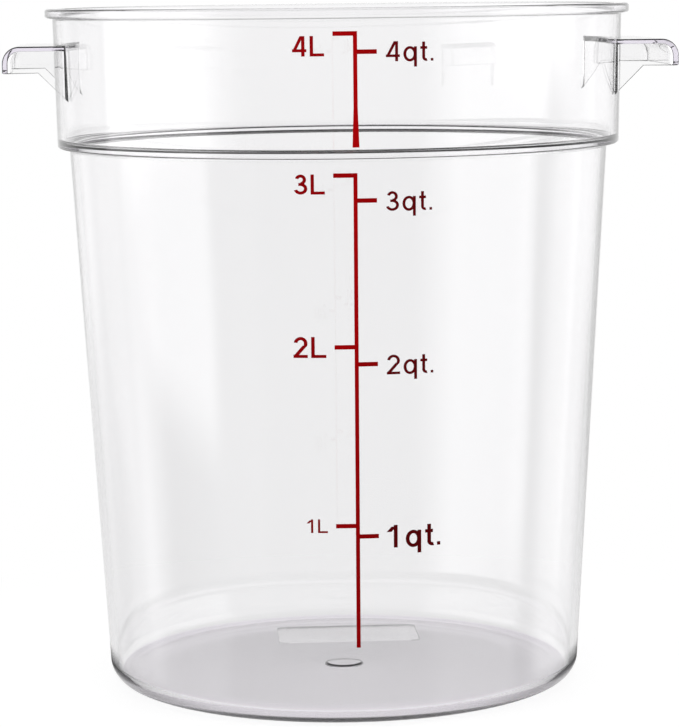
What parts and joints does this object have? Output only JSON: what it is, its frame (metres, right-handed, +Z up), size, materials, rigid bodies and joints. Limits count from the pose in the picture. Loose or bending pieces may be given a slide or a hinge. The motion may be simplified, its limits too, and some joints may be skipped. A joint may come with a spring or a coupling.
{
  "type": "food storage container",
  "caption": "Round clear plastic food storage container: tapered open vessel with a shoulder, wide rim, side handles and a printed red volume scale.",
  "frame": {"origin": "centre of the underside, on the table, on the vessel's axis", "axes": "+Z up through the open mouth; the printed scale faces -Y, which is the front; the handles stand out along +X and -X"},
  "size_m": [0.2064, 0.182, 0.2123],
  "materials": {
    "clear_plastic": "clear, glossy, with a faint grey-violet tint",
    "litre_ink": "printed red ink",
    "quart_ink": "printed dark red ink"
  },
  "bodies": {
    "root": {"vessel": "clear_plastic", "scale_line_upper": "litre_ink", "scale_line_lower": "litre_ink", "litre_mark_1": "litre_ink", "litre_mark_2": "litre_ink", "litre_mark_3": "litre_ink", "litre_mark_4": "litre_ink", "quart_mark_1": "quart_ink", "quart_mark_2": "quart_ink", "quart_mark_3": "quart_ink", "quart_mark_4": "quart_ink"}
  },
  "joints": []
}
